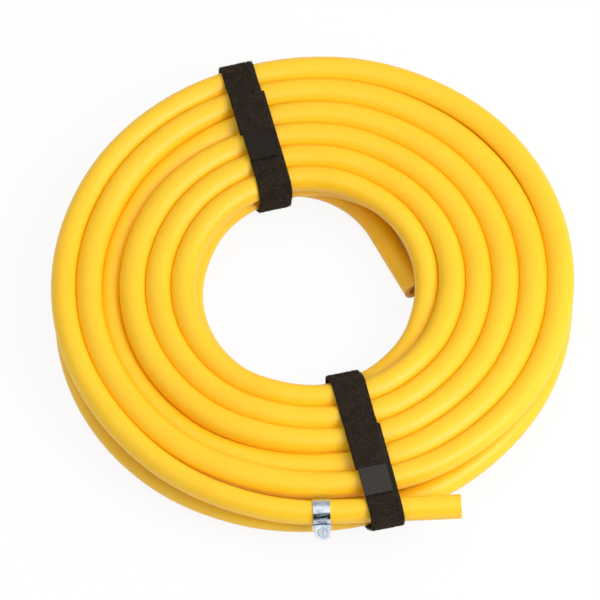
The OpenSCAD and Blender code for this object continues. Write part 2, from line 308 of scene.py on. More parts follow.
    def bend(self) -> list[np.ndarray]:
        """Finds where the hose bends in under the coil and comes down to the floor.

        Returns:
            Points of the bend's centre line, from the coil on.
        """
        before, leave = self.point(self.a_leave - self.leave_look_back), self.point(self.a_leave)
        heading = math.degrees(math.atan2(leave[1] - before[1], leave[0] - before[0]))
        centre = leave - self.end_bend_r * to_left(heading)
        points = []
        for i in range(1, self.bend_rings + 1):
            t = i / self.bend_rings
            p = centre + self.end_bend_r * to_left(heading - (heading - self.end_heading) * t)
            rise = self.lift * (1 - smooth((t - self.settle_from) / (1 - self.settle_from)))
            points.append(np.array([p[0], p[1], self.hose_r + rise]))
        return points

    def straight(self, start: np.ndarray, end: np.ndarray) -> list[np.ndarray]:
        """Divides a straight stretch.

        Args:
            start: Its first point.
            end: Its last point.

        Returns:
            Points from start to just before end, a few millimetres apart.
        """
        count = max(1, round(float(np.linalg.norm(end - start)) / self.straight_step))
        return [start + (end - start) * i / count for i in range(count)]

    def points(self) -> np.ndarray:
        """Finds the whole centre line.

        Returns:
            Its points, from the outer end's cut face to the inner end's.
        """
        count = self.coil_steps
        coil = [self.point(self.a_leave * i / count) for i in range(count + 1)]
        bend = self.bend()
        inner_end = bend[-1] + (self.end_straight + self.inner_end_len) * along(self.end_heading)
        route = self.straight(self.tail_end, coil[0]) + coil + bend[:-1]
        route += self.straight(bend[-1], inner_end) + [inner_end]
        return np.array(route)


# ---------------------------------------------------------------- mesh helpers


def make_mesh(
    name: str, verts: Iterable[np.ndarray], faces: Iterable[Face], finish: bpy.types.Material
) -> bpy.types.Object:
    """Makes a smooth-shaded mesh object.

    Args:
        name: Name of the object and its mesh.
        verts: Points in millimetres, one row each.
        faces: Point numbers of each face.
        finish: Material of all the faces.

    Returns:
        The object, linked to the scene.
    """
    mesh = bpy.data.meshes.new(name)
    mesh.from_pydata((np.asarray(verts) * MM).tolist(), [], [list(f) for f in faces])
    mesh.validate()
    mesh.polygons.foreach_set("use_smooth", [True] * len(mesh.polygons))
    mesh.materials.append(finish)
    made = bpy.data.objects.new(name, mesh)
    bpy.context.scene.collection.objects.link(made)
    log.info("%s: made with %d faces", name, len(mesh.polygons))
    return made


def grid_faces(rows: int, columns: int, closed: bool, first: int = 0) -> list[Face]:
    """Lays quads over a grid of points.

    Args:
        rows: Number of rows.
        columns: Points in a row.
        closed: Whether each row is a closed ring.
        first: Number of the grid's first point.

    Returns:
        The faces, row after row.
    """
    wide = columns if closed else columns - 1
    faces = []
    for i in range(rows - 1):
        for k in range(wide):
            a = first + i * columns + k
            b = first + i * columns + (k + 1) % columns
            faces.append((a, a + columns, b + columns, b))
    return faces


def ease_edges(piece: bpy.types.Object, width: float) -> None:
    """Rounds the sharp edges of a solid.

    Args:
        piece: The solid.
        width: How far the rounding reaches, in millimetres.
    """
    bevel = piece.modifiers.new("eased_edges", "BEVEL")
    bevel.width = width * MM
    bevel.segments = EASED_EDGE_STEPS
    bevel.limit_method = "ANGLE"
    bevel.angle_limit = math.radians(SHARP_EDGE_DEGREES)


def coat(piece: bpy.types.Object, finish: bpy.types.Material) -> None:
    """Gives a solid of the frame its finish.

    Args:
        piece: The solid.
        finish: Material of all its faces.
    """
    piece.data.materials.clear()
    piece.data.materials.append(finish)
    log.info("%s: finished in %s", piece.name, finish.name)


def sweep_frames(points: np.ndarray) -> tuple[np.ndarray, np.ndarray]:
    """Finds the left and upward vectors of rings along a line.

    Args:
        points: The line's points.

    Returns:
        One left vector and one upward vector for each point, square to the line.
    """
    ahead = np.gradient(points, axis=0)
    ahead /= np.linalg.norm(ahead, axis=1)[:, None]
    left = np.cross(np.tile(UP, (len(points), 1)), ahead)
    left /= np.linalg.norm(left, axis=1)[:, None]
    return left, np.cross(ahead, left)


def sweep_ring(points: np.ndarray, r: float, sides: int) -> np.ndarray:
    """Makes a round tube along a line.

    Args:
        points: The line's points.
        r: The tube's radius.
        sides: Points in a ring.

    Returns:
        The tube's points, ring after ring.
    """
    left, above = sweep_frames(points)
    turns = np.linspace(0, FULL_TURN, sides, endpoint=False)
    aside = np.cos(turns)[None, :, None] * left[:, None, :]
    upward = np.sin(turns)[None, :, None] * above[:, None, :]
    return (points[:, None, :] + r * (aside + upward)).reshape(-1, 3)


# ---------------------------------------------------------------- finishes


def linear(code: str) -> tuple[float, float, float, float]:
    """Turns an sRGB hex colour to linear light.

    Args:
        code: The colour, such as #ffcc00.

    Returns:
        Red, green, blue and alpha.
    """
    parts = [int(code[i : i + 2], 16) / 255 for i in (1, 3, 5)]
    levels = [p / 12.92 if p <= 0.04045 else ((p + 0.055) / 1.055) ** 2.4 for p in parts]
    return (levels[0], levels[1], levels[2], 1.0)


def add_node(
    tree: bpy.types.NodeTree,
    kind: str,
    settings: dict[str, object] | None = None,
    inputs: dict[str | int, object] | None = None,
    links: dict[str | int, bpy.types.NodeSocket] | None = None,
) -> bpy.types.Node:
    """Adds a node with its settings, input values and links.

    Args:
        tree: Node tree to add to.
        kind: Blender's name for the node's type.
        settings: Attribute names and values.
        inputs: Input names or numbers, and values.
        links: Input names or numbers, and the outputs that feed them.

    Returns:
        The node.
    """
    node = tree.nodes.new(kind)
    for name, value in (settings or {}).items():
        setattr(node, name, value)
    for name, value in (inputs or {}).items():
        node.inputs[name].default_value = value
    for name, socket in (links or {}).items():
        tree.links.new(socket, node.inputs[name])
    return node


def colour_ramp(
    tree: bpy.types.NodeTree, level: bpy.types.NodeSocket, stops: Sequence[tuple[float, str]]
) -> bpy.types.NodeSocket:
    """Adds a ramp of colours over a level.

    Args:
        tree: Node tree to add to.
        level: Output that gives the level.
        stops: Places from 0 to 1 and their sRGB hex colours, two or more.

    Returns:
        The output that gives the colour.
    """
    node = add_node(tree, "ShaderNodeValToRGB", links={"Fac": level})
    ramp = node.color_ramp
    for place, code in stops[1:-1]:
        ramp.elements.new(place).color = linear(code)
    for stop, (place, code) in ((ramp.elements[0], stops[0]), (ramp.elements[-1], stops[-1])):
        stop.position, stop.color = place, linear(code)
    return node.outputs["Color"]


def start_material(name: str) -> tuple[bpy.types.Material, bpy.types.NodeTree, bpy.types.Node]:
    """Makes a plain material.

    Args:
        name: Its name.

    Returns:
        The material, its node tree and its surface shader.
    """
    material = bpy.data.materials.new(name)
    material.use_nodes = True
    tree = material.node_tree
    return material, tree, tree.nodes["Principled BSDF"]


@dataclass(frozen=True)
class ExtrudedVinyl:
    """Plasticised PVC, extruded: satin and softly waxy.

    The eye gets a broad soft highlight, a deeper yellow in the gaps, and a slight
    unevenness of colour from handling.
    """

    body: str = "#ffcb24"
    worn: str = "#ffc61d"
    gloss: float = 0.42
    roughness: float = 0.43
    ior: float = 1.53
    mottle_mm: float = 60.0
    skin_mm: float = 1.2
    skin_depth_mm: float = 0.2
    skin_relief: float = 0.05
    glow_share: float = 0.2
    glow_mm: float = 2.5
    glow_reach: Triple = (1.0, 0.45, 0.08)

    def build(self) -> bpy.types.Material:
        """Makes the material.

        Returns:
            The material.
        """
        material, tree, shader = start_material("extruded_yellow_vinyl")
        place = add_node(tree, "ShaderNodeTexCoord").outputs["Object"]
        mottle = add_node(
            tree, "ShaderNodeTexNoise",
            inputs={"Scale": 1 / (self.mottle_mm * MM), "Detail": 3.0, "Roughness": 0.55},
            links={"Vector": place},
        )
        colour = colour_ramp(tree, mottle.outputs["Fac"], [(0.35, self.body), (0.7, self.worn)])
        tree.links.new(colour, shader.inputs["Base Color"])
        skin = add_node(
            tree, "ShaderNodeTexNoise",
            inputs={"Scale": 1 / (self.skin_mm * MM), "Detail": 2.0},
            links={"Vector": place},
        )
        bump = add_node(
            tree, "ShaderNodeBump",
            inputs={"Strength": self.skin_relief, "Distance": self.skin_depth_mm * MM},
            links={"Height": skin.outputs["Fac"]},
        )
        tree.links.new(bump.outputs["Normal"], shader.inputs["Normal"])
        shader.inputs["Roughness"].default_value = self.roughness
        shader.inputs["IOR"].default_value = self.ior
        shader.inputs["Specular IOR Level"].default_value = self.gloss
        shader.inputs["Subsurface Weight"].default_value = self.glow_share
        shader.inputs["Subsurface Radius"].default_value = self.glow_reach
        shader.inputs["Subsurface Scale"].default_value = self.glow_mm * MM
        return material


@dataclass(frozen=True)
class LoopPile:
    """Brushed nylon loop tape, knitted: a dull brown-black nap.

    The eye gets a soft surface without highlights, mottled by the lie of its loops and by painted
    shade in the hollows between the loops and painted light on their tops, with a paler sheen
    at the edges.
    """

    # Painted shade for the hollows between the loops, the tape's own colour, and painted light for
    # the loops' tops.
    hollow_shade: str = "#0f0b07"
    mid: str = "#251d15"
    loop_top_light: str = "#4a3d2d"
    sheen: str = "#8a7463"
    sheen_weight: float = 0.12
    sheen_roughness: float = 0.4
    roughness: float = 0.95
    gloss: float = 0.2
    loop_mm: float = 0.7
    loop_depth_mm: float = 0.6
    loop_relief: float = 0.9
    lie_mm: float = 6.0
    lie_share: float = 0.15

    def build(self) -> bpy.types.Material:
        """Makes the material.

        Returns:
            The material.
        """
        material, tree, shader = start_material("brushed_loop_pile")
        place = add_node(tree, "ShaderNodeTexCoord").outputs["Object"]
        lie = add_node(
            tree, "ShaderNodeTexNoise",
            inputs={"Scale": 1 / (self.lie_mm * MM), "Detail": 2.0},
            links={"Vector": place},
        )
        loops = add_node(
            tree, "ShaderNodeTexNoise",
            inputs={"Scale": 1 / (self.loop_mm * MM), "Detail": 3.0, "Roughness": 0.7},
            links={"Vector": place},
        )
        level = add_node(
            tree, "ShaderNodeMix",
            settings={"data_type": "FLOAT"},
            inputs={"Factor": self.lie_share},
            links={"A": loops.outputs["Fac"], "B": lie.outputs["Fac"]},
        )
        # The colour follows the loops' bump height: painted shade where it is low, painted light
        # where it is high.
        stops = [(0.34, self.hollow_shade), (0.5, self.mid), (0.68, self.loop_top_light)]
        colour = colour_ramp(tree, level.outputs["Result"], stops)
        tree.links.new(colour, shader.inputs["Base Color"])
        bump = add_node(
            tree, "ShaderNodeBump",
            inputs={"Strength": self.loop_relief, "Distance": self.loop_depth_mm * MM},
            links={"Height": loops.outputs["Fac"]},
        )
        tree.links.new(bump.outputs["Normal"], shader.inputs["Normal"])
        shader.inputs["Roughness"].default_value = self.roughness
        shader.inputs["Specular IOR Level"].default_value = self.gloss
        shader.inputs["Sheen Weight"].default_value = self.sheen_weight
        shader.inputs["Sheen Roughness"].default_value = self.sheen_roughness
        shader.inputs["Sheen Tint"].default_value = linear(self.sheen)
        return material


@dataclass(frozen=True)
class MouldedNylon:
    """Nylon, moulded as a hook tape's back: a smooth dark skin with a faint grain.

    The eye gets a flatter, slightly paler and glossier patch than the nap round it.
    """

    name: str
    low: str = "#1e1a16"
    body: str = "#26221e"
    high: str = "#37312b"
    gloss: float = 0.4
    roughness: float = 0.55
    ior: float = 1.53
    grain_mm: float = 0.8
    grain_depth_mm: float = 0.2
    grain_relief: float = 0.25

    def build(self) -> bpy.types.Material:
        """Makes the material.

        Returns:
            The material.
        """
        material, tree, shader = start_material(self.name)
        place = add_node(tree, "ShaderNodeTexCoord").outputs["Object"]
        grain = add_node(
            tree, "ShaderNodeTexNoise",
            inputs={"Scale": 1 / (self.grain_mm * MM), "Detail": 3.0},
            links={"Vector": place},
        )
        stops = [(0.3, self.low), (0.5, self.body), (0.72, self.high)]
        colour = colour_ramp(tree, grain.outputs["Fac"], stops)
        tree.links.new(colour, shader.inputs["Base Color"])
        bump = add_node(
            tree, "ShaderNodeBump",
            inputs={"Strength": self.grain_relief, "Distance": self.grain_depth_mm * MM},
            links={"Height": grain.outputs["Fac"]},
        )
        tree.links.new(bump.outputs["Normal"], shader.inputs["Normal"])
        shader.inputs["Roughness"].default_value = self.roughness
        shader.inputs["IOR"].default_value = self.ior
        shader.inputs["Specular IOR Level"].default_value = self.gloss
        return material


@dataclass(frozen=True)
class ZincPlate:
    """Steel, pressed or headed, then bright zinc plated and blue passivated.

    The eye gets a bright metal with a cool tint and a duller bloom here and there.
    """

    name: str
    bright: str = "#dfe6ee"
    bloom: str = "#a8b5c4"
    roughness: float = 0.14
    bloom_roughness: float = 0.12
    bloom_mm: float = 5.0

    def build(self) -> bpy.types.Material:
        """Makes the material.

        Returns:
            The material.
        """
        material, tree, shader = start_material(self.name)
        place = add_node(tree, "ShaderNodeTexCoord").outputs["Object"]
        bloom = add_node(
            tree, "ShaderNodeTexNoise",
            inputs={"Scale": 1 / (self.bloom_mm * MM), "Detail": 4.0, "Roughness": 0.6},
            links={"Vector": place},
        )
        colour = colour_ramp(tree, bloom.outputs["Fac"], [(0.35, self.bright), (0.7, self.bloom)])
        tree.links.new(colour, shader.inputs["Base Color"])
        rough = add_node(
            tree, "ShaderNodeMapRange",
            inputs={
                "From Min": 0.3,
                "From Max": 0.7,
                "To Min": self.roughness,
                "To Max": self.roughness + self.bloom_roughness,
            },
            links={"Value": bloom.outputs["Fac"]},
        )
        tree.links.new(rough.outputs["Result"], shader.inputs["Roughness"])
        shader.inputs["Metallic"].default_value = 1.0
        return material


@dataclass(frozen=True)
class BraidYarn:
    """Polyester reinforcement yarn, cut through.

    The eye gets small matt off-white dots in the hose wall.
    """

    shade: str = "#cfc6a8"
    body: str = "#e9e2cc"
    roughness: float = 0.85
    fibre_mm: float = 0.2

    def build(self) -> bpy.types.Material:
        """Makes the material.

        Returns:
            The material.
        """
        material, tree, shader = start_material("cut_polyester_yarn")
        place = add_node(tree, "ShaderNodeTexCoord").outputs["Object"]
        fibre = add_node(
            tree, "ShaderNodeTexNoise",
            inputs={"Scale": 1 / (self.fibre_mm * MM), "Detail": 2.0},
            links={"Vector": place},
        )
        colour = colour_ramp(tree, fibre.outputs["Fac"], [(0.35, self.shade), (0.65, self.body)])
        tree.links.new(colour, shader.inputs["Base Color"])
        shader.inputs["Roughness"].default_value = self.roughness
        return material


# ---------------------------------------------------------------- the hose


@dataclass
class Hose:
    """The hose: one tube along the coil's route, with a bore and a cut face at each end.

    Where two turns press on each other, their sides are squeezed out until they touch. The
    clamp's seat and both straight ends stay round.
    """

    route: CoilRoute
    sides: int = 48
    # The cut ends.
    bore_r: float = 5.0
    bore_depth: float = 40.0
    cut_round: float = 0.35
    # Yarns cut through: each dome's rings are a share of its radius and a height.
    yarns: int = 24
    yarn_ring_r: float = 6.6
    yarn_r: float = 0.42
    yarn_sides: int = 8
    yarn_dome: tuple[tuple[float, float], ...] = ((1.0, -0.02), (0.8, 0.05), (0.4, 0.09))
    # How far the sides are squeezed out, how far off the next turn may be, and the overlap
    # and flatness where they touch.
    spread_most: float = 1.9
    spread_reach: float = 22.5
    spread_window: int = 15
    touch: float = 0.07
    flat: float = 0.3
    # A turn counts as beside when it is this far aside and rises no steeper than this.
    beside_least: float = 1.0
    beside_rise: float = 0.7
    # The inner end leans out against the coil, from this share of its bend on.
    lean: float = 2.2
    lean_from: float = 1 / 3
    # Rings that stay round at the clamp's seat and at the inner cut end.
    seat_rings: int = 12
    end_rings: int = 3
    points: np.ndarray = field(init=False)

    def __post_init__(self) -> None:
        """Works out the route's points."""
        self.points = self.route.points()

    def nearest_beside(self, a: float, way: int) -> float:
        """Finds how far away the next turn beside a place of the coil is.

        Args:
            a: Angle travelled, in degrees.
            way: 1 for the outward side, -1 for the inward side.

        Returns:
            The distance of the centre lines in millimetres, or the reach if none is nearer.
        """
        route = self.route
        r, z = route.radius(a), route.height(a)
        nearest = self.spread_reach
        turn = a % 360
        while turn <= route.a_leave:
            aside, above = way * (route.radius(turn) - r), abs(route.height(turn) - z)
            if aside > self.beside_least and above < self.beside_rise * aside:
                nearest = min(nearest, math.hypot(aside, above))
            turn += 360
        return nearest

    def spread(self, way: int) -> np.ndarray:
        """Finds how far each ring is squeezed out sideways until it touches the turn beside it.

        Args:
            way: 1 for the outward side, -1 for the inward side.

        Returns:
            One width in millimetres for each of the line's points.
        """
        route = self.route
        count = route.coil_steps
        first = len(route.straight(route.tail_end, route.point(0)))
        spread = np.zeros(len(self.points))
        for i in range(self.seat_rings, count + 1):
            nearest = self.nearest_beside(route.a_leave * i / count, way)
            if nearest < self.spread_reach:
                spread[first + i] = min(self.spread_most, nearest / 2 - route.hose_r + self.touch)
        window = np.hanning(self.spread_window) / np.hanning(self.spread_window).sum()
        spread = np.convolve(spread, window, mode="same")
        if way > 0:
            bend = first + count + round(route.bend_rings * self.lean_from)
            under = slice(bend, len(self.points) - self.end_rings)
            spread[under] += self.lean * np.hanning(under.stop - under.start)
        return spread

    def build_wound(self, finish: bpy.types.Material) -> bpy.types.Object:
        """Makes the tube's outside, flattened a little where its turns press on each other.

        Args:
            finish: Material of the hose.

        Returns:
            The piece.
        """
        left, above = sweep_frames(self.points)
        turns = np.linspace(0, FULL_TURN, self.sides, endpoint=False)
        r = self.route.hose_r
        outward, inward = self.spread(1)[:, None], self.spread(-1)[:, None]
        room = np.where(np.cos(turns)[None, :] > 0, outward, inward)
        flat = self.flat * np.minimum(1.0, room / self.touch)
        aside = (r + room + flat) * np.cos(turns)[None, :]
        aside = np.clip(aside, -(r + inward), r + outward)
        up = r * np.sin(turns)[None, :] * np.ones_like(room)
        verts = self.points[:, None, :] + aside[:, :, None] * left[:, None, :]
        verts = (verts + up[:, :, None] * above[:, None, :]).reshape(-1, 3)
        faces = grid_faces(len(self.points), self.sides, closed=True)
        return make_mesh("wound_hose", verts, faces, finish)

    def build_end(
        self, name: str, inward: np.ndarray, finish: bpy.types.Material
    ) -> bpy.types.Object:
        """Makes a cut end: the rounded rim, the cut face and the bore behind it.

        Args:
            name: Name of the piece.
            inward: Centre line points from the cut face into the hose.
            finish: Material of the hose.

        Returns:
            The piece.
        """
        r, soft = self.route.hose_r, self.cut_round
        ahead = unit(inward[1] - inward[0])
        # Radius of each ring of the rim and its distance behind the cut face. The first
        # stands just clear of the tube, and the last begins the bore.
        rim = (
            (r + 0.01, soft),
            (r - 0.3 * soft, 0.08),
            (r - soft, 0.0),
            (self.bore_r + soft / 2, 0.0),
            (self.bore_r, soft / 2),
        )
        rings = []
        for size, back in rim:
            start = inward[0] + back * ahead
            ring = sweep_ring(np.array([start, start + ahead]), size, self.sides)
            rings.append(ring[: self.sides])
        verts = np.concatenate(rings + [sweep_ring(inward[1:], self.bore_r, self.sides)])
        faces = grid_faces(len(verts) // self.sides, self.sides, closed=True)
        return make_mesh(name, verts, faces, finish)

    def build_yarns(
        self, name: str, inward: np.ndarray, finish: bpy.types.Material
    ) -> bpy.types.Object:
        """Makes the ring of cut yarn ends, each a small dome on the cut face.

        Args:
            name: Name of the piece.
            inward: Centre line points from the cut face into the hose.
            finish: Material of the yarn.

        Returns:
            The piece.
        """
        back = -unit(inward[1] - inward[0])
        left = unit(np.cross(UP, back))
        above = np.cross(back, left)
        verts, faces = [], []
        for i in range(self.yarns):
            turn = FULL_TURN * i / self.yarns
            spoke = math.cos(turn) * left + math.sin(turn) * above
            spot = inward[0] + self.yarn_ring_r * spoke
            start = len(verts)
            for size, out in self.yarn_dome:
                for k in range(self.yarn_sides):
                    side = FULL_TURN * k / self.yarn_sides
                    ray = math.cos(side) * left + math.sin(side) * above
                    verts.append(spot + self.yarn_r * size * ray + out * back)
            faces += grid_faces(len(self.yarn_dome), self.yarn_sides, closed=True, first=start)
            faces.append(tuple(range(len(verts) - self.yarn_sides, len(verts))))
        return make_mesh(name, verts, faces, finish)

    def build(self, vinyl: bpy.types.Material, yarn: bpy.types.Material, body: str) -> None:
        """Args:
            vinyl: Material of the hose.
            yarn: Material of its cut yarns.
            body: CAD body that it rides on.
        """
        tube = self.build_wound(vinyl)
        ends = []
        depth = round(self.bore_depth / self.route.straight_step)
        for name, inward in (("outer", self.points), ("inner", self.points[::-1])):
            ends.append(self.build_end(f"hose_{name}_mouth", inward[:depth], vinyl))
            ends.append(self.build_yarns(f"hose_{name}_yarns", inward[:depth], yarn))
        for piece in [tube] + ends:
            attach(piece, body)
        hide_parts("hose_coil", "hose_tail", "hose_inner_end")
        length = length_of(self.points) * MM
        log.info("hose: %.2f m in one tube", length)


# ---------------------------------------------------------------- the straps


@dataclass
class Strap:
    """A hook-and-loop strap: one length of loop tape round the bundle, with a hook tab.

    Its sizes are in millimetres. Points of its line are places along the strap, from the
    coil's centre outward, and above the floor.
    """

    name: str
    direction: float
    offset: float
    lap: float
    weld: float
    way: LapWay
    body: str
    tab_body: str
    # The tape, and how far it stands off the hose.
    width: float = 22.0
    tape_t: float = 2.0
    hose_r: float = 8.0
    slack: float = 0.35
    # Distance of its rows in millimetres, and of the points round a hose in degrees.
    step: float = 0.5
    arc_step: float = 6.0
    # The upper lap: its ramp, and where the tape crosses over sideways, as shares of its run.
    lap_shift: float = 1.8
    lap_ramp: float = 9.0
    lap_ramp_steps: int = 12
    lap_gap: float = 0.2
    lap_cross_from: float = 0.35
    lap_cross_over: float = 0.3
    level: float = 0.05
    # The section: rounded inner edges, and outer ones that thin out from a share of the half.
    edge_round: float = 0.5
    edge_from: float = 0.86
    edge_thin: float = 0.75
    inside_steps: int = 10
    across: int = 44
    # The nap: how high it rises, the fineness of its two grains, and where it begins.
    nap: float = 0.22
    nap_most: float = 0.3
    nap_scales: tuple[float, float] = (1.1, 0.35)
    nap_share: float = 0.6
    nap_from: float = 0.3
    nap_aside: float = 0.5
    # Single loops in the nap. Those at the edges lean outward and stand lower.
    seed: int = 7
    loops: int = 5200
    loop_high: float = 0.5
    loop_least: float = 0.5
    loop_wide: float = 0.34
    loop_yarn: float = 0.075
    loop_rings: int = 5
    loop_sides: int = 3
    loop_edge_from: float = 0.9
    loop_lean: float = 0.9
    loop_sink: float = 0.3
    level_share: float = 0.99
    # The hook tab, and the rows of hooks beneath it.
    tab_len: float = 21.0
    tab_w: float = 18.4
    tab_edge: float = 0.2
    tab_clear: float = 0.5
    hook_pitch: float = 1.25
    hook_high: float = 0.24
    hook_margin: float = 2.0
    hook_sides: int = 4
    # Share of a hook's height, half its width there and its reach along the strap.
    hook_rings: tuple[Triple, ...] = (
        (-0.02, 0.2, 0.0), (0.5, 0.15, 0.02), (0.85, 0.2, 0.16), (1.0, 0.1, 0.24)
    )

    @property
    def ahead(self) -> np.ndarray:
        """Unit vector along the strap, outward from the coil's centre."""
        return along(self.direction)

    @property
    def left(self) -> np.ndarray:
        """Unit vector across the strap."""
        return to_left(self.direction)

    def place(self, u: float, side: float, v: float) -> np.ndarray:
        """A point from its place along, across and above the strap."""
        return u * self.ahead + (self.offset + side) * self.left + v * UP

    def lap_side(self, share: float) -> float:
        """Sideways place of the tape's middle, which crosses over from one lap to the other."""
        crossed = smooth((share - self.lap_cross_from) / self.lap_cross_over)
        return self.way.value * self.lap_shift * (0.5 - crossed)

    def crossings(self, route: np.ndarray) -> np.ndarray:
        """Finds where the hose crosses the strap's middle and edges.

        Args:
            route: The hose's centre line.

        Returns:
            Places along and above the strap.
        """
        found = []
        for share in (-0.5, 0.0, 0.5):
            side = route @ self.left - self.offset - share * (self.width + self.lap_shift)
            for i in np.nonzero(side[:-1] * side[1:] <= 0)[0]:
                p = route[i] + (route[i + 1] - route[i]) * side[i] / (side[i] - side[i + 1])
                u = float(p @ self.ahead)
                if u > 0:
                    found.append((u, float(p[2])))
        return np.array(found)

    @staticmethod
    def hull(points: np.ndarray) -> list[np.ndarray]:
        """Finds the corners of the points' convex outline.

        Args:
            points: Places along and above the strap.

        Returns:
            The corners, anticlockwise.
        """
        order = sorted({(round(float(u), 3), round(float(v), 3)) for u, v in points})
        least_turn = 0.01

        def half(run: list[tuple[float, float]]) -> list[tuple[float, float]]:
            """Finds the corners of the outline's half that lies to the right of the run.

            Args:
                run: Places in order from one end of the outline to the other.

            Returns:
                The corners in the same order, but for the last.
            """
            chain: list[tuple[float, float]] = []
            for p in run:
                while len(chain) > 1:
                    (ax, ay), (bx, by) = chain[-2], chain[-1]
                    if (bx - ax) * (p[1] - ay) - (by - ay) * (p[0] - ax) > least_turn:
                        break
                    chain.pop()
                chain.append(p)
            return chain[:-1]

        return [np.array(p) for p in half(order) + half(order[::-1])]

    def outline(self, corners: list[np.ndarray], r: float) -> np.ndarray:
        """Draws a closed line tight round circles at the corners.

        Args:
            corners: The circles' centres, anticlockwise.
            r: Their radius.

        Returns:
            The line's points, anticlockwise.
        """
        count = len(corners)
        normals = []
        for i in range(count):
            run = corners[(i + 1) % count] - corners[i]
            normals.append(math.atan2(-run[0], run[1]))
        line = []
        for i in range(count):
            start = normals[i - 1]
            sweep = (normals[i] - start) % FULL_TURN
            steps = max(1, math.ceil(math.degrees(sweep) / self.arc_step))
            for k in range(steps + 1):
                turn = start + sweep * k / steps
                line.append(corners[i] + r * np.array([math.cos(turn), math.sin(turn)]))
        return np.array(line)

    def run(self, route: np.ndarray) -> np.ndarray:
        """Finds the tape's line: from the lower lap's end round the bundle and up to the weld.

        Args:
            route: The hose's centre line.

        Returns:
            Places along and above the strap, half way through the tape, evenly apart.
        """
        way = self.way.value
        around = self.hose_r + self.slack + self.tape_t / 2
        ring = self.outline(self.hull(self.crossings(route)), around)
        if way > 0:
            ring = ring[::-1]
        top = float(ring[:, 1].max())
        flat = [i for i in range(len(ring)) if ring[i, 1] > top - self.level]
        ahead = [i for i in flat if way * (ring[i, 0] - self.lap) > 0]
        first = min(ahead, key=lambda i: way * ring[i, 0])
        ring = np.roll(ring, -first, axis=0)
        start = self.lap - way * self.lap_ramp
        line = [np.array([self.lap, top])] + list(ring)
        while way * (line[-1][0] - start) > 0 and line[-1][1] > top - self.level:
            line.pop()
        rise = self.tape_t + self.lap_gap
        steps = self.lap_ramp_steps
        for i in range(steps + 1):
            u = start + way * self.lap_ramp * i / steps
            line.append(np.array([u, top + rise * smooth(i / steps)]))
        line.append(np.array([self.weld, top + rise]))
        return self.evenly(np.array(line), self.step)

    @staticmethod
    def evenly(line: np.ndarray, step: float) -> np.ndarray:
        """Sets a line's points out again at an even distance.

        Args:
            line: The line's points.
            step: The distance.

        Returns:
            The new points.
        """
        gaps = np.linalg.norm(np.diff(line, axis=0), axis=1)
        places = np.concatenate([[0], np.cumsum(gaps)])
        keep = np.concatenate([[True], gaps > 1e-6])
        count = round(places[-1] / step)
        at = np.linspace(0, places[-1], count + 1)
        return np.stack([np.interp(at, places[keep], line[keep, k]) for k in range(2)], axis=1)

    def section(self) -> list[tuple[float, float]]:
        """Draws the tape's section, thin at its edges.

        Returns:
            Places across the tape and through it, anticlockwise from the inside.
        """
        half, t, soft = self.width / 2, self.tape_t / 2, self.edge_round
        wide, steps = self.width - 2 * soft, self.inside_steps
        inside = [(-half + soft + wide * k / steps, -t) for k in range(steps + 1)]
        outside = []
        for k in range(self.across + 1):
            u = 1 - 2 * k / self.across
            edge = max(0.0, (abs(u) - self.edge_from) / (1 - self.edge_from))
            outside.append((u * half, t * (1 - self.edge_thin * edge * edge)))
        side = half - soft / 10
        return inside + [(side, -t + soft)] + outside + [(-side, -t + soft)]

    def build_tape(self, route: np.ndarray, finish: bpy.types.Material) -> None:
        """Makes the loop tape with its nap.

        Args:
            route: The hose's centre line.
            finish: Material of the tape.
        """
        line = self.run(route)
        section = self.section()
        run = np.gradient(line, axis=0)
        run /= np.linalg.norm(run, axis=1)[:, None]
        out = np.stack([-run[:, 1], run[:, 0]], axis=1) * self.way.value
        fine, broad = self.nap_scales
        verts = []
        for (u, v), (nu, nv), share in zip(line, out, np.linspace(0, 1, len(line))):
            shift = self.lap_side(share)
            for side, through in section:
                p = self.place(u + nu * through, side + shift, v + nv * through)
                if through > -self.nap_from * self.tape_t:
                    spot = Vector(p)
                    fluff = noise.noise(spot * fine) + self.nap_share * noise.noise(spot * broad)
                    lift = min(self.nap_most, self.nap * fluff)
                    p = p + lift * (nu * self.ahead + nv * UP)
                    p = p + self.nap_aside * lift * (side / (self.width / 2)) * self.left
                verts.append(p)
        size = len(section)
        faces = grid_faces(len(line), size, closed=True)
        faces.append(tuple(range(size)))
        faces.append(tuple(reversed(range(len(verts) - size, len(verts)))))
        tape = make_mesh(f"{self.name}_loop_tape", verts, faces, finish)
        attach(tape, self.body)
        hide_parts(f"{self.name}_tape")
        log.info("%s: %.0f mm of tape", self.name, length_of(line))
        self.build_loops(line, out, finish)

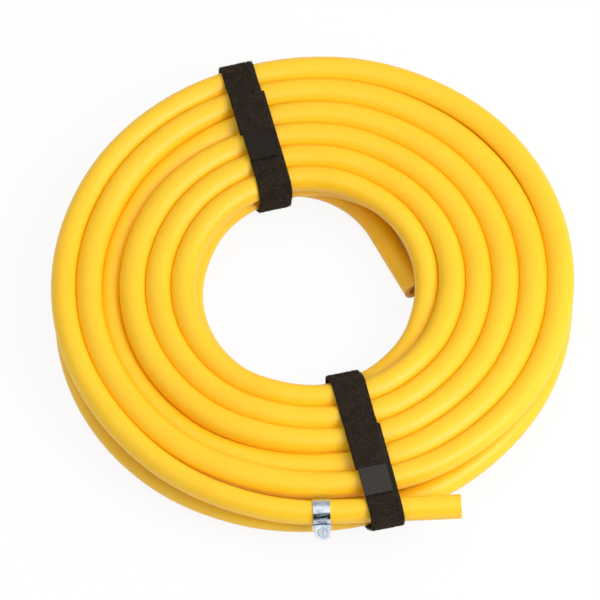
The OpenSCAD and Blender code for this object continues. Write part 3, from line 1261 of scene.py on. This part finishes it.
    def build_loops(self, line: np.ndarray, out: np.ndarray, finish: bpy.types.Material) -> None:
        """Makes the loops that stand out of the nap, all but those under the upper lap and tab.

        Args:
            line: The tape's line, along and above the strap.
            out: Its outward direction at each of the line's points.
            finish: Material of the loops.
        """
        way, half = self.way.value, self.width / 2
        rng = np.random.default_rng(self.seed)
        spots = rng.integers(1, len(line) - 1, self.loops)
        sides = rng.uniform(-0.5, 0.5, self.loops) * self.width
        turns = rng.uniform(0, math.pi, self.loops)
        highs = self.loop_high * rng.uniform(self.loop_least, 1.0, self.loops)
        covered_to = self.weld + way * (self.tab_len + self.tab_clear)
        verts, faces = [], []
        for spot, side, turn, high in zip(spots, sides, turns, highs):
            (u, v), (nu, nv) = line[spot], out[spot]
            level = nv > self.level_share
            if spot < len(line) / 2 and level and way * (covered_to - u) > 0:
                continue
            shift = self.lap_side(spot / (len(line) - 1))
            edge = max(0.0, abs(side) / half - self.loop_edge_from) / (1 - self.loop_edge_from)
            foot = self.tape_t / 2 * (1 - self.loop_sink * edge)
            base = self.place(u + nu * foot, side + shift, v + nv * foot)
            flare = math.copysign(self.loop_lean * edge, side)
            normal = unit(nu * self.ahead + nv * UP + flare * self.left)
            across = unit(np.cross(normal, nv * self.ahead - nu * UP))
            flat = math.cos(turn) * across + math.sin(turn) * np.cross(across, normal)
            third = np.cross(flat, normal)
            start = len(verts)
            for k in range(self.loop_rings):
                t = math.pi * k / (self.loop_rings - 1)
                ray = math.cos(t) * flat + math.sin(t) * normal
                centre = base + self.loop_wide * math.cos(t) * flat + high * math.sin(t) * normal
                for j in range(self.loop_sides):
                    around = FULL_TURN * j / self.loop_sides
                    arm = math.cos(around) * third + math.sin(around) * ray
                    verts.append(centre + self.loop_yarn * arm)
            faces += grid_faces(self.loop_rings, self.loop_sides, closed=True, first=start)
        nap = make_mesh(f"{self.name}_loops", verts, faces, finish)
        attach(nap, self.body)

    def build_hooks(self, finish: bpy.types.Material) -> None:
        """Makes the rows of small hooks under the tab.

        Args:
            finish: Material of the hooks.
        """
        way = self.way.value
        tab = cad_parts[f"{self.name}_tab"]
        low = min((tab.matrix_world @ Vector(corner)).z for corner in tab.bound_box) / MM
        rows = int((self.tab_len - 2 * self.hook_margin) / self.hook_pitch)
        columns = int((self.tab_w - 2 * self.hook_margin) / self.hook_pitch)
        verts, faces = [], []
        for i in range(rows + 1):
            for j in range(columns + 1):
                u = self.weld + way * (self.hook_margin + self.tab_clear + i * self.hook_pitch)
                side = (j - columns / 2) * self.hook_pitch - way * self.lap_shift / 2
                start = len(verts)
                for drop, size, reach in self.hook_rings:
                    centre = self.place(u + way * reach, side, low - drop * self.hook_high)
                    for k in range(self.hook_sides):
                        turn = FULL_TURN * (0.5 + k) / self.hook_sides
                        arm = math.cos(turn) * self.ahead + math.sin(turn) * self.left
                        verts.append(centre + size * arm)
                faces += grid_faces(len(self.hook_rings), self.hook_sides, closed=True, first=start)
                faces.append(tuple(range(len(verts) - self.hook_sides, len(verts))))
        hooks = make_mesh(f"{self.name}_tab_hooks", verts, faces, finish)
        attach(hooks, self.tab_body)

    def build(
        self, route: np.ndarray, pile: bpy.types.Material, nylon: bpy.types.Material
    ) -> None:
        """Makes the strap's pieces and finishes its tab.

        Args:
            route: The hose's centre line.
            pile: Material of the loop tape.
            nylon: Material of the hook tab.
        """
        self.build_tape(route, pile)
        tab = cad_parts[f"{self.name}_tab"]
        coat(tab, nylon)
        ease_edges(tab, self.tab_edge)
        self.build_hooks(nylon)


# ---------------------------------------------------------------- the clamp


@dataclass
class WormClamp:
    """The worm-drive clamp on the outer end: its solids, with eased edges and plating."""

    edge_mm: float = 0.15

    def build(self, finishes: dict[str, bpy.types.Material]) -> None:
        """Plates each node and eases its edges.

        Args:
            finishes: Material for each node's name.
        """
        for name, finish in finishes.items():
            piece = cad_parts[name]
            coat(piece, finish)
            ease_edges(piece, self.edge_mm)


# ---------------------------------------------------------------- the studio


@dataclass(frozen=True)
class SkyLobe:
    """A round part of the world with a level of its own, which fades out towards its rim.

    The rim and the core are cosines of the angle from the centre.
    """

    centre: Triple
    rim: float
    core: float
    outside: float
    inside: float

    def build(
        self, tree: bpy.types.NodeTree, direction: bpy.types.NodeSocket
    ) -> bpy.types.NodeSocket:
        """Adds the lobe to the world.

        Args:
            tree: The world's node tree.
            direction: Output that gives the direction looked in.

        Returns:
            The output that gives the level.
        """
        toward = add_node(
            tree, "ShaderNodeVectorMath",
            settings={"operation": "DOT_PRODUCT"},
            inputs={1: self.centre},
            links={0: direction},
        )
        level = add_node(
            tree, "ShaderNodeMapRange",
            settings={"interpolation_type": "SMOOTHSTEP"},
            inputs={
                "From Min": self.rim,
                "From Max": self.core,
                "To Min": self.outside,
                "To Max": self.inside,
            },
            links={"Value": toward.outputs["Value"]},
        )
        return level.outputs["Result"]


@dataclass(frozen=True)
class Studio:
    """A pale floor, one large soft lamp, an even world and the camera."""

    elevation: float = 59.1
    distance: float = 12.0
    field_mm: float = 392.2
    aim_mm: Triple = (-9.3, -12.4, 43.4)
    sensor_mm: float = 36.0
    clip_end: float = 50.0
    floor_size: float = 8.0
    floor_drop: float = 0.0005
    floor_paper: str = "#f4f4f4"
    floor_roughness: float = 0.9
    # Share of plain white that the eye and the plating see on the floor. The rest is lit.
    floor_glow: float = 0.9
    lamp_place: Triple = (1.6, -0.95, 1.75)
    lamp_size: float = 1.7
    lamp_watts: float = 42.0
    sky: str = "#ffffff"
    dark_wall: str = "#25343a"
    # A dark wall low in front, which gives the plating its contrast, and a bright ceiling.
    wall: SkyLobe = SkyLobe((0.0, -0.965, 0.26), rim=0.72, core=0.87, outside=0.0, inside=1.0)
    ceiling: SkyLobe = SkyLobe((0.12, -0.24, 0.96), rim=0.66, core=0.96, outside=0.62, inside=1.3)

    def build_camera(self) -> None:
        """Makes the camera and makes it the scene's."""
        data = bpy.data.cameras.new("camera")
        data.sensor_width = self.sensor_mm
        data.sensor_fit = "HORIZONTAL"
        data.lens = self.sensor_mm * self.distance / (self.field_mm * MM)
        data.clip_end = self.clip_end
        camera = bpy.data.objects.new("camera", data)
        bpy.context.scene.collection.objects.link(camera)
        tilt = math.radians(self.elevation)
        back = Vector((0, -math.cos(tilt), math.sin(tilt)))
        camera.location = Vector(self.aim_mm) * MM + self.distance * back
        camera.rotation_euler = (math.radians(90) - tilt, 0, 0)
        bpy.context.scene.camera = camera

    def build_floor(self) -> None:
        """Makes the floor, which is white to the eye and keeps a light shadow."""
        bpy.ops.mesh.primitive_plane_add(size=self.floor_size)
        floor = bpy.context.object
        floor.name = "floor"
        floor.location.z = -self.floor_drop
        material, tree, shader = start_material("white_paper_floor")
        shader.inputs["Base Color"].default_value = linear(self.floor_paper)
        shader.inputs["Roughness"].default_value = self.floor_roughness
        path = add_node(tree, "ShaderNodeLightPath").outputs
        seen = path["Is Camera Ray"]
        for other in ("Is Glossy Ray", "Is Transmission Ray"):
            seen = add_node(
                tree, "ShaderNodeMath",
                settings={"operation": "MAXIMUM"},
                links={0: seen, 1: path[other]},
            ).outputs[0]
        share = add_node(
            tree, "ShaderNodeMath",
            settings={"operation": "MULTIPLY"},
            inputs={1: self.floor_glow},
            links={0: seen},
        )
        glow = add_node(tree, "ShaderNodeEmission", inputs={"Color": (1, 1, 1, 1), "Strength": 1.0})
        mix = add_node(
            tree, "ShaderNodeMixShader",
            links={0: share.outputs[0], 1: shader.outputs[0], 2: glow.outputs[0]},
        )
        tree.links.new(mix.outputs[0], tree.nodes["Material Output"].inputs["Surface"])
        floor.data.materials.append(material)

    def build_lamp(self) -> None:
        """Makes the lamp, a soft square that looks at the coil."""
        data = bpy.data.lights.new("key", "AREA")
        data.size = self.lamp_size
        data.energy = self.lamp_watts
        lamp = bpy.data.objects.new("key", data)
        lamp.location = self.lamp_place
        lamp.rotation_euler = (-Vector(self.lamp_place)).to_track_quat("-Z", "Y").to_euler()
        bpy.context.scene.collection.objects.link(lamp)

    def build_world(self) -> None:
        """Makes the world, which is even but for its two lobes."""
        world = bpy.data.worlds.new("studio")
        bpy.context.scene.world = world
        world.use_nodes = True
        tree = world.node_tree
        background = tree.nodes["Background"]
        direction = add_node(tree, "ShaderNodeTexCoord").outputs["Generated"]
        dark = self.wall.build(tree, direction)
        strength = self.ceiling.build(tree, direction)
        colour = colour_ramp(tree, dark, [(0.0, self.sky), (1.0, self.dark_wall)])
        tree.links.new(colour, background.inputs["Color"])
        tree.links.new(strength, background.inputs["Strength"])

    def build(self) -> None:
        """Makes the floor and the light."""
        self.build_floor()
        self.build_lamp()
        self.build_world()
        bpy.context.scene.view_settings.view_transform = "Standard"
        log.info("studio: floor, lamp and world")


def main() -> None:
    """Builds the dressed hose in its studio."""
    logging.basicConfig(level=logging.INFO, format="%(name)s %(message)s")
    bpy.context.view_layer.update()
    studio = Studio()
    studio.build_camera()
    hose = Hose(CoilRoute())
    hose.build(ExtrudedVinyl().build(), BraidYarn().build(), "coil")
    pile = LoopPile().build()
    near = Strap(
        "near_strap", direction=283.2, offset=4.2, lap=118.0, weld=150.0,
        way=LapWay.OUTWARD, body="coil", tab_body="near_tab",
    )
    far = Strap(
        "far_strap", direction=104.3, offset=8.7, lap=146.0, weld=115.5,
        way=LapWay.INWARD, body="coil", tab_body="far_tab",
    )
    charcoal = MouldedNylon("moulded_charcoal_nylon")
    # The far tab's copy of the same nylon, in darker colours and with less gloss: painted shade for
    # the far tab, which gets less light.
    black = MouldedNylon(
        "moulded_nylon_far_tab_shade", low="#17110a", body="#1f1810", high="#282017", gloss=0.15
    )
    near.build(hose.points, pile, charcoal.build())
    far.build(hose.points, pile, black.build())
    strip = ZincPlate("zinc_plated_strip")
    pressing = ZincPlate("zinc_plated_pressing", roughness=0.15)
    screw = ZincPlate("zinc_plated_screw", bright="#d3dae3", bloom="#97a5b5", roughness=0.2)
    WormClamp().build({
        "clamp_band": strip.build(),
        "clamp_housing": pressing.build(),
        "clamp_screw": screw.build(),
    })
    studio.build()


if __name__ == "__main__":
    main()
